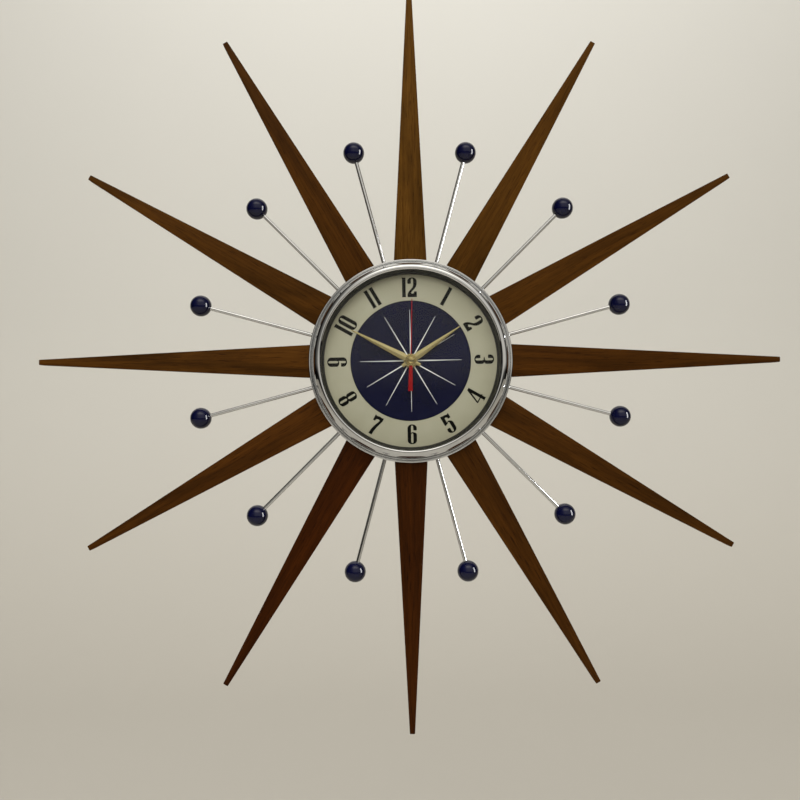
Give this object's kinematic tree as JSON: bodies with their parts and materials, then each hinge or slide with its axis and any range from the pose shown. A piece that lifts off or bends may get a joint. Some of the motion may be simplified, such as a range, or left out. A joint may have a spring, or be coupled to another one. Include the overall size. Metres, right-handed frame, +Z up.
{
  "type": "wall clock",
  "caption": "Sunburst wall clock: tapered wooden rays and ball-tipped rods round a chrome-rimmed quartz dial, hung on a keyhole plate.",
  "frame": {"origin": "on the hands' axis, at the plane of the wall, which is the back of the hub", "axes": "+Z up the wall, +Y into the wall, so the dial faces -Y; +X to the right as the dial is read"},
  "size_m": [0.736, 0.0406, 0.736],
  "materials": {
    "hub_wood": "satin stained plywood",
    "ray_wood": "satin oiled walnut, grain along the ray",
    "ball_lacquer": "dark navy gloss lacquer on wood",
    "chrome": "polished",
    "steel": "zinc plated",
    "dial_face": "matt cream with a gloss navy centre",
    "sight_plastic": "satin dark grey",
    "clear_glass": "clear, slightly domed",
    "gilt": "satin gilt",
    "red_paint": "red satin paint",
    "brass": "turned",
    "rubber": "matt",
    "movement_plastic": "black moulded",
    "cover_plastic": "black moulded",
    "gear_white": "moulded acetal",
    "gear_black": "moulded acetal",
    "knob_plastic": "moulded grey",
    "soft_iron": "bare lamination",
    "copper": "enamelled copper wire",
    "circuit": "green board",
    "battery_jacket": "plain wrapped steel can"
  },
  "bodies": {
    "case": {"hub_board": "hub_wood", "hanger_plate": "steel", "hanger_screws": "steel", "ray_screws": "steel", "case_pan": "steel", "case_screws": "steel", "dial": "dial_face", "sight_ring": "sight_plastic", "glass": "clear_glass", "bezel": "chrome", "rubber_washer": "rubber", "dial_washer": "brass", "dial_nut": "brass", "movement_case": "movement_plastic", "movement_cover": "cover_plastic", "middle_plate": "gear_white", "stator": "soft_iron", "coil_bobbin": "gear_white", "coil_winding": "copper", "circuit_board": "circuit", "quartz_crystal": "steel", "battery": "battery_jacket", "battery_contacts": "steel", "ball_rods": "chrome", "ray_01": "ray_wood", "ball_01": "ball_lacquer", "ray_02": "ray_wood", "ball_02": "ball_lacquer", "ray_03": "ray_wood", "ball_03": "ball_lacquer", "ray_04": "ray_wood", "ball_04": "ball_lacquer", "ray_05": "ray_wood", "ball_05": "ball_lacquer", "ray_06": "ray_wood", "ball_06": "ball_lacquer", "ray_07": "ray_wood", "ball_07": "ball_lacquer", "ray_08": "ray_wood", "ball_08": "ball_lacquer", "ray_09": "ray_wood", "ball_09": "ball_lacquer", "ray_10": "ray_wood", "ball_10": "ball_lacquer", "ray_11": "ray_wood", "ball_11": "ball_lacquer", "ray_12": "ray_wood", "ball_12": "ball_lacquer"},
    "minute": {"minute_hand": "gilt", "centre_wheel": "gear_white"},
    "hour": {"hour_hand": "gilt", "hour_wheel": "gear_black"},
    "motion_work": {"minute_wheel": "gear_white"},
    "setting": {"setting_knob": "knob_plastic"},
    "third": {"third_wheel": "gear_white"},
    "seconds": {"second_hand": "red_paint", "hand_cap": "gilt", "second_wheel": "gear_white"},
    "intermediate": {"intermediate_wheel": "gear_white"},
    "rotor": {"rotor": "gear_black"}
  },
  "joints": [
    {"name": "minute_hand_turn", "type": "hinge", "parent": "case", "child": "minute", "pos_m": [0, -0.0306, 0], "axis": [0, 1, 0], "continuous": true},
    {"name": "hour_hand_turn", "type": "hinge", "parent": "case", "child": "hour", "pos_m": [0, -0.028, 0], "axis": [0, 1, 0], "continuous": true},
    {"name": "minute_wheel_turn", "type": "hinge", "parent": "case", "child": "motion_work", "pos_m": [-0.01039, -0.018, 0.006], "axis": [0, 1, 0], "continuous": true},
    {"name": "setting_knob_turn", "type": "hinge", "parent": "case", "child": "setting", "pos_m": [-0.0211, -0.004, 0.0021], "axis": [0, 1, 0], "continuous": true},
    {"name": "third_wheel_turn", "type": "hinge", "parent": "case", "child": "third", "pos_m": [0.00935, -0.014, 0.0054], "axis": [0, 1, 0], "continuous": true},
    {"name": "second_hand_turn", "type": "hinge", "parent": "case", "child": "seconds", "pos_m": [0, -0.0327, 0], "axis": [0, 1, 0], "continuous": true},
    {"name": "intermediate_wheel_turn", "type": "hinge", "parent": "case", "child": "intermediate", "pos_m": [0, -0.01, 0.0105], "axis": [0, 1, 0], "continuous": true},
    {"name": "rotor_turn", "type": "hinge", "parent": "case", "child": "rotor", "pos_m": [0.0045, -0.008, 0.01829], "axis": [0, 1, 0], "continuous": true}
  ],
  "couplings": [
    {"joint": "hour_hand_turn", "follows": "minute_hand_turn", "ratio": 0.083333},
    {"joint": "minute_wheel_turn", "follows": "minute_hand_turn", "ratio": -0.33333},
    {"joint": "setting_knob_turn", "follows": "minute_hand_turn", "ratio": 1.25},
    {"joint": "third_wheel_turn", "follows": "minute_hand_turn", "ratio": -8},
    {"joint": "second_hand_turn", "follows": "minute_hand_turn", "ratio": 60},
    {"joint": "intermediate_wheel_turn", "follows": "minute_hand_turn", "ratio": -360},
    {"joint": "rotor_turn", "follows": "minute_hand_turn", "ratio": 1800}
  ]
}
